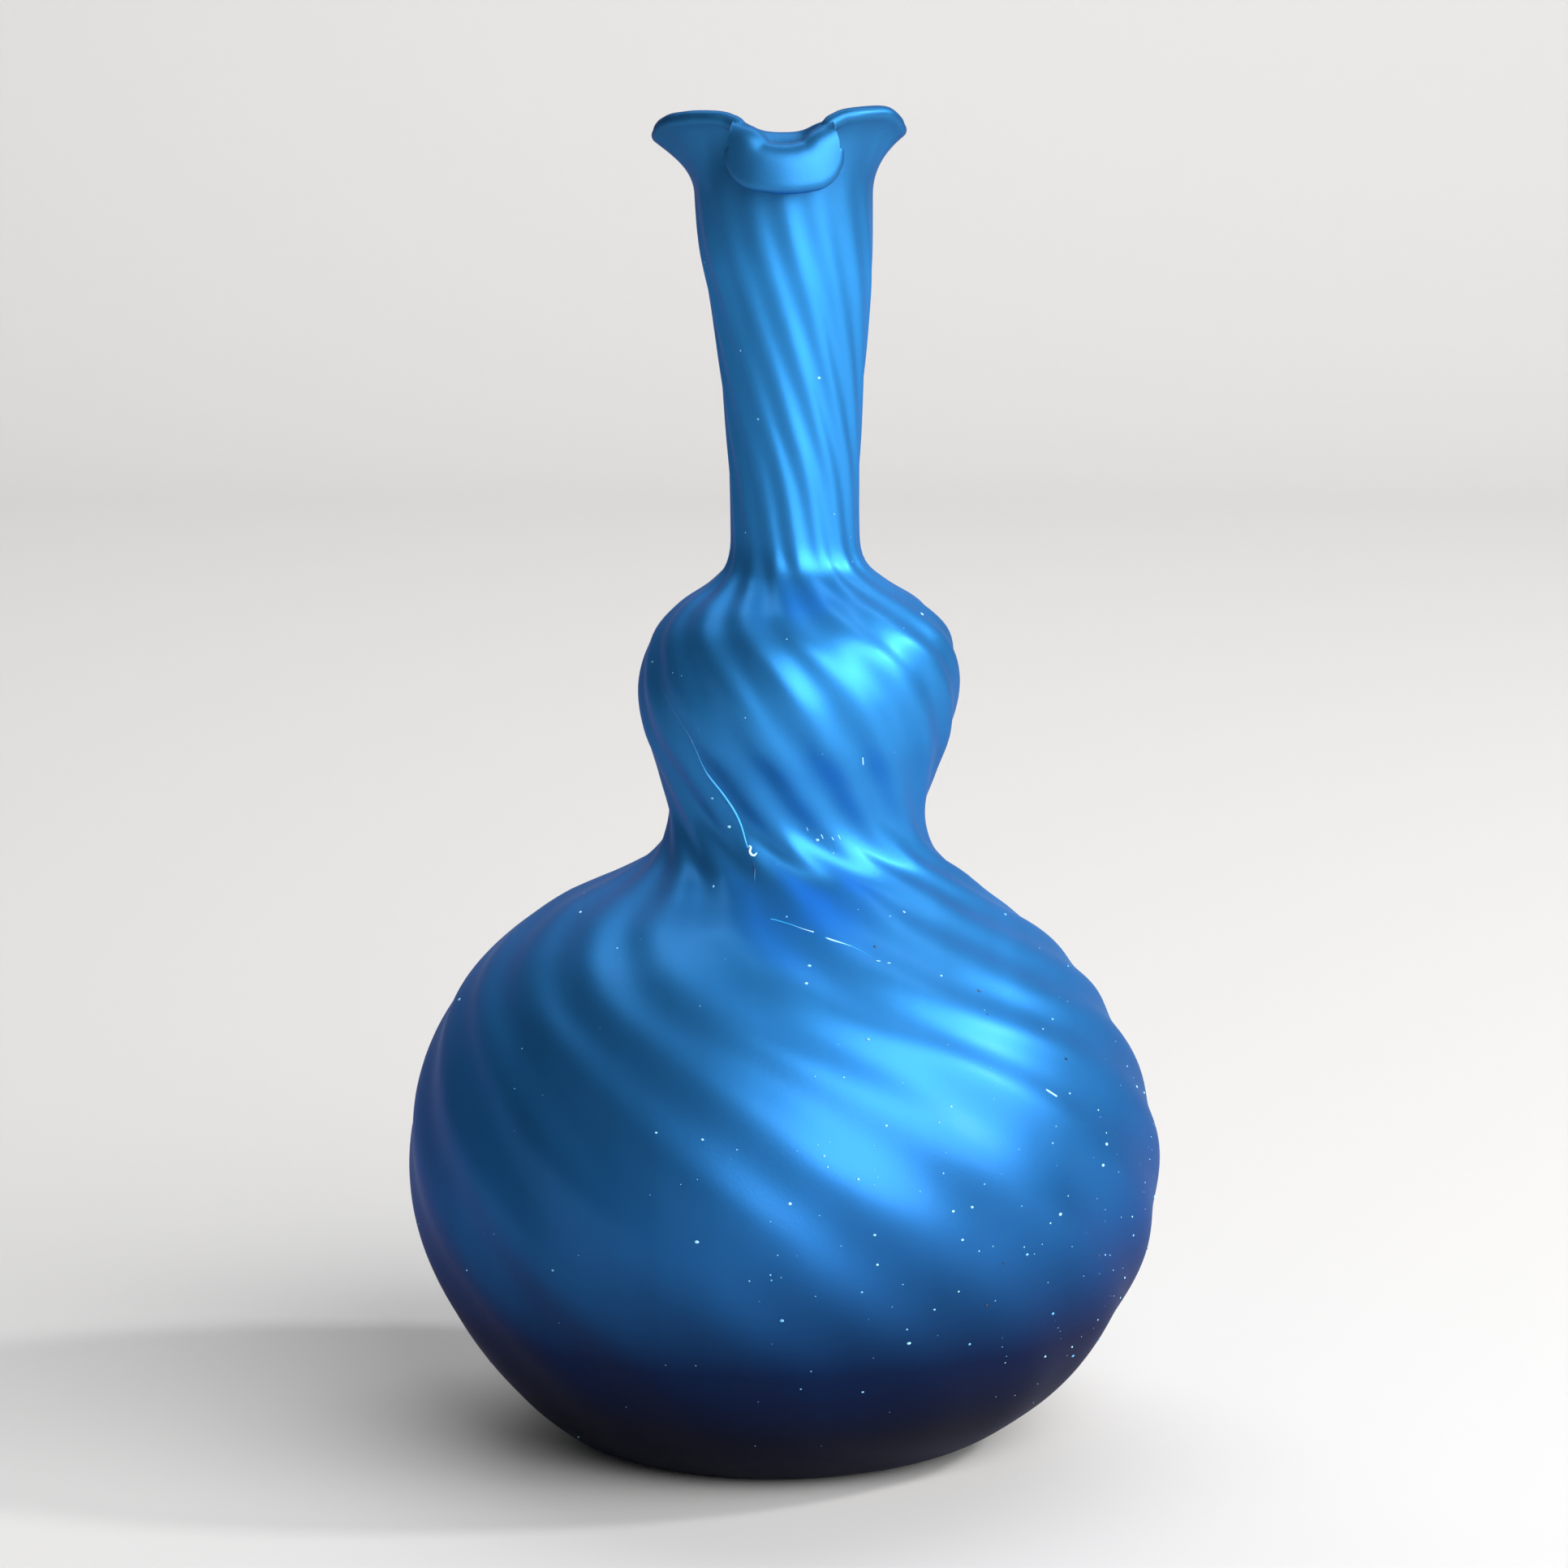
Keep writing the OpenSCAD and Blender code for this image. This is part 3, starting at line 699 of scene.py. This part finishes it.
def seedTree(threads):
    # grains scattered over the outside, thickest in one cluster, beside the larger ones
    tree = bpy.data.node_groups.new("glassSeeds", "GeometryNodeTree")
    for name, kind in [("Skin", "Object"), ("Dashes", "Object"), ("Sides", "Int"), ("Material", "Material"),
                       ("Everywhere", "Float"), ("Cluster", "Float"), ("Smallest", "Float"),
                       ("Largest", "Float"), ("Dark Share", "Float"), ("Random Seed", "Int")]:
        tree.interface.new_socket(name, in_out="INPUT", socket_type="NodeSocket" + kind)
    tree.interface.new_socket("Geometry", in_out="OUTPUT", socket_type="NodeSocketGeometry")
    net = Net(tree)
    given = net.node("NodeGroupInput")
    skin = net.node("GeometryNodeObjectInfo", None, {"Object": given.out("Skin")}).out("Geometry")
    place = net.node("GeometryNodeInputPosition")
    height = net.node("ShaderNodeSeparateXYZ", None, {"Vector": place}).out("Z")
    outwards = net.vectors("NORMALIZE", net.vectors("MULTIPLY", place, (1.0, 1.0, 0.0)))
    normal = net.node("GeometryNodeInputNormal")
    facing = net.vectors("DOT_PRODUCT", outwards, normal).out("Value")
    clusterAngle = math.radians(seeds["clusterAzimuth"])
    clusterWay = (math.cos(clusterAngle), math.sin(clusterAngle), 0.0)
    toCluster = net.vectors("DOT_PRODUCT", outwards, clusterWay).out("Value")
    low, middle, high = (z * scaleZ for z in seeds["clusterHeights"])
    rising = net.node("ShaderNodeMapRange", {"interpolation_type": "SMOOTHSTEP"},
                      {"Value": height, "From Min": low, "From Max": middle})
    falling = net.node("ShaderNodeMapRange", {"interpolation_type": "SMOOTHSTEP"},
                       {"Value": height, "From Min": middle, "From Max": high,
                        "To Min": 1.0, "To Max": 0.0})
    near = net.maths("MAXIMUM", toCluster, 0.0) ** seeds["clusterPull"] * rising * falling
    # the inside faces the axis, so this leaves it out
    isOutside = facing > seeds["facing"]
    isSkin = isOutside * (height < seeds["highest"] * scaleZ) * (height > seeds["lowest"] * scaleZ)
    density = (given.out("Everywhere") + given.out("Cluster") * near) * isSkin
    spread = net.node("GeometryNodeDistributePointsOnFaces", {"distribute_method": "RANDOM"},
                      {"Mesh": skin, "Density": density, "Seed": given.out("Random Seed")})

    def random(shift, low=0.0, high=1.0):
        made = net.node("FunctionNodeRandomValue", {"data_type": "FLOAT"}, {"Seed": shift})
        return made.out("Value") * (high - low) + low

    growth = given.out("Largest") - given.out("Smallest")
    size = random(1) ** seeds["rareness"] * growth + given.out("Smallest")
    pale = (random(2) > given.out("Dark Share")) * random(3, *seeds["paleness"])
    stored = net.node("GeometryNodeStoreNamedAttribute", {"data_type": "FLOAT", "domain": "POINT"},
                      {"Geometry": spread.out("Points"), "Name": "pale", "Value": pale})
    grain = net.node("GeometryNodeMeshIcoSphere", None, {"Radius": mm, "Subdivisions": 2})
    scale = net.node("ShaderNodeCombineXYZ", None, {"X": size * random(4, *seeds["stretch"]),
                                                    "Y": size, "Z": size * seeds["flatness"]})
    grains = net.node("GeometryNodeInstanceOnPoints", None,
                      {"Points": stored, "Instance": grain.out("Mesh"), "Rotation": spread.out("Rotation"),
                       "Scale": scale})
    smooth = net.node("GeometryNodeSetShadeSmooth", None,
                      {"Geometry": net.node("GeometryNodeRealizeInstances", None, {"Geometry": grains})})
    dashes = net.node("GeometryNodeGroup", {"node_tree": threads},
                      {"Threads": given.out("Dashes"), "Sides": given.out("Sides"),
                       "Material": given.out("Material")})
    joined = net.node("GeometryNodeJoinGeometry")
    for part in (dashes, smooth):
        net.tree.links.new(part.socket, joined.node.inputs["Geometry"])
    real = net.node("GeometryNodeRealizeInstances", None, {"Geometry": joined})
    dressed = net.node("GeometryNodeSetMaterial", None,
                       {"Geometry": real, "Material": given.out("Material")})
    net.node("NodeGroupOutput", None, {"Geometry": dressed})
    return tree


def markMaterial(name, look):
    # pale glass, or dark stones where the mesh says so; the emission is a painted glow in the same colour
    material, net, shader = newMaterial(name)
    pale = net.node("ShaderNodeAttribute", {"attribute_name": "pale"}).out("Fac")
    colour = net.node("ShaderNodeValToRGB", {"stops": look["tones"]}, {"Fac": pale})
    dress(net, shader, {
        "Base Color": colour, "Roughness": look["roughness"], "IOR": glassIor,
        "Coat Weight": look["coat"], "Emission Strength": look["paintedGlow"], "Emission Color": colour,
    })
    return material


def pontilProfile(radius, bottom, top):
    # half of the button's section, from near its middle below to near its middle above
    rings, steps = pontil["rings"], pontil["edgeSteps"]
    edge, dome = pontil["round"] * mm, pontil["dome"] * mm
    profile = []
    for k in range(1, rings + 1):
        profile.append((radius * k / rings * pontil["domeShare"], bottom + dome * (1 - k / rings)))
    for k in range(steps + 1):
        angle = math.radians(90 - 90 * k / steps)
        profile.append((radius - edge + edge * math.cos(angle), bottom + edge - edge * math.sin(angle)))
    return profile + [(radius, top), (radius / 2, top)]


def buildPontil():
    # the fire-polished button: a slightly uneven disc with a rounded edge
    low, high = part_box("pontil_button")
    middle, radius = (low + high) / 2, (high.x - low.x) / 2
    profile = pontilProfile(radius, low.z, high.z)
    columns = pontil["columns"]
    points = []
    for r, z in profile:
        for j in range(columns):
            angle = math.radians(360 * j / columns)
            swell = 1 + math.sin(3 * angle + 1) * math.sin(2 * angle)
            uneven = 1 - pontil["waver"] * swell * (r / radius)
            points.append((middle.x + r * uneven * math.cos(angle),
                           middle.y + r * uneven * math.sin(angle), z))
    points += [(middle.x, middle.y, low.z + pontil["dome"] * mm), (middle.x, middle.y, high.z)]
    below, above = len(points) - 2, len(points) - 1
    lastRing = (len(profile) - 1) * columns
    faces = []
    for i in range(len(profile) - 1):
        for j in range(columns):
            a, b = i * columns + j, i * columns + (j + 1) % columns
            faces.append((b, b + columns, a + columns, a))
    for j in range(columns):
        k = (j + 1) % columns
        faces += [(below, k, j), (above, lastRing + j, lastRing + k)]
    mesh = bpy.data.meshes.new("pontilButton")
    mesh.from_pydata(points, [], faces)
    mesh.shade_smooth()
    made = bpy.data.objects.new("pontilButton", mesh)
    bpy.context.scene.collection.objects.link(made)
    material, net, shader = newMaterial("pontilGlass")
    dress(net, shader, {
        "Base Color": (*pontil["colour"], 1), "Roughness": pontil["roughness"], "IOR": glassIor,
        "Transmission Weight": pontil["transmission"],
    })
    mesh.materials.append(material)
    return made


skin = BVHTree.FromPolygons([v.co for v in casing.data.vertices],
                            [p.vertices for p in casing.data.polygons])
glassThread = threadTree()
trailThreads = [trail[name] for name in ("thread", "curl", "tail", "scratch", "scratchEnd")]
trailCurves = threadObject("trailCurves", skin, trailThreads, trail["steps"])
glassTrail = grown("glassTrail", glassThread, {
    "Threads": trailCurves, "Sides": trail["sides"], "Material": markMaterial("paleGlass", trail)})
dashCurves = threadObject("dashCurves", skin, seeds["dashes"], seeds["steps"])
skinSeeds = grown("skinSeeds", seedTree(glassThread), {
    "Skin": casing, "Dashes": dashCurves, "Sides": seeds["sides"],
    "Material": markMaterial("seedGrain", seeds), "Everywhere": seeds["everywhere"],
    "Cluster": seeds["cluster"], "Smallest": seeds["smallest"], "Largest": seeds["largest"],
    "Dark Share": seeds["darkShare"], "Random Seed": seeds["randomSeed"]})
for spent in (trailCurves, dashCurves):
    bpy.data.objects.remove(spent)
pontilButton = buildPontil()
for piece, node, slot in ((glassTrail, "glass_trail", "pale_glass"),
                          (skinSeeds, "skin_seeds", "seed_grain"),
                          (pontilButton, "pontil_button", "pontil_glass")):
    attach(piece, "root")
    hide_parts(node)
    print(piece.name, len(piece.data.polygons), "faces")

studio = {
    "cameraDistance": 0.9, "cameraHeight": 0.25, "cameraPitch": 8.867, "lens": 127.18,
    "floorColour": (0.60, 0.59, 0.58), "floorRoughness": 0.7,
    "skyColour": (0.80, 0.88, 1.0), "skyStrength": 0.12,
    # the floor in metres: its near end, where it starts to bend, the bend, its top, half its width
    "sweepFront": -7, "sweepBack": 1.5, "sweepBend": 0.5, "sweepTop": 4, "sweepHalf": 6,
    "sweepSteps": 24,
    # name, width, height, watts, place, aimed at
    "lamps": [
        ("window", 1.8, 1.1, 42, (0.82, -1.00, 0.80), (0, 0, 0.09)),
        ("spot", 0.16, 0.16, 11, (1.25, -0.10, 0.92), (0, 0, 0.09)),
        ("wall", 2.4, 0.8, 34, (0.2, 0.75, 1.9), (0.2, 1.9, 0.5)),
    ],
}


def buildSweep():
    # a seamless floor that bends up into a back wall
    bend, back, half = studio["sweepBend"], studio["sweepBack"], studio["sweepHalf"]
    steps = studio["sweepSteps"]
    profile = [(studio["sweepFront"], 0), (back, 0)]
    for i in range(1, steps + 1):
        angle = math.radians(90 * i / steps)
        profile.append((back + bend * math.sin(angle), bend - bend * math.cos(angle)))
    profile.append((back + bend, studio["sweepTop"]))
    points = [(x, y, z) for x in (-half, half) for y, z in profile]
    n = len(profile)
    mesh = bpy.data.meshes.new("floor")
    mesh.from_pydata(points, [], [(i, n + i, n + i + 1, i + 1) for i in range(n - 1)])
    mesh.shade_smooth()
    floor = bpy.data.objects.new("floor", mesh)
    bpy.context.scene.collection.objects.link(floor)
    material, net, shader = newMaterial("floor")
    dress(net, shader, {"Base Color": (*studio["floorColour"], 1),
                        "Roughness": studio["floorRoughness"]})
    mesh.materials.append(material)


def buildStudio():
    scene = bpy.context.scene
    camera = bpy.data.objects.new("camera", bpy.data.cameras.new("camera"))
    scene.collection.objects.link(camera)
    camera.location = (0, -studio["cameraDistance"], studio["cameraHeight"])
    camera.rotation_euler = (math.radians(90 - studio["cameraPitch"]), 0, 0)
    camera.data.lens = studio["lens"]
    camera.data.sensor_width = 36
    scene.camera = camera
    world = bpy.data.worlds.new("studio")
    scene.world = world
    world.use_nodes = True
    sky = world.node_tree.nodes["Background"].inputs
    sky["Color"].default_value = (*studio["skyColour"], 1)
    sky["Strength"].default_value = studio["skyStrength"]
    scene.view_settings.view_transform = "Standard"
    buildSweep()
    for name, width, height, power, place, target in studio["lamps"]:
        light = bpy.data.lights.new(name, "AREA")
        light.shape = "RECTANGLE"
        light.size, light.size_y, light.energy = width, height, power
        lamp = bpy.data.objects.new(name, light)
        scene.collection.objects.link(lamp)
        lamp.location = place
        lamp.rotation_euler = (Vector(target) - Vector(place)).to_track_quat("-Z", "Y").to_euler()
    print("studio", len(studio["lamps"]), "lamps")


buildStudio()
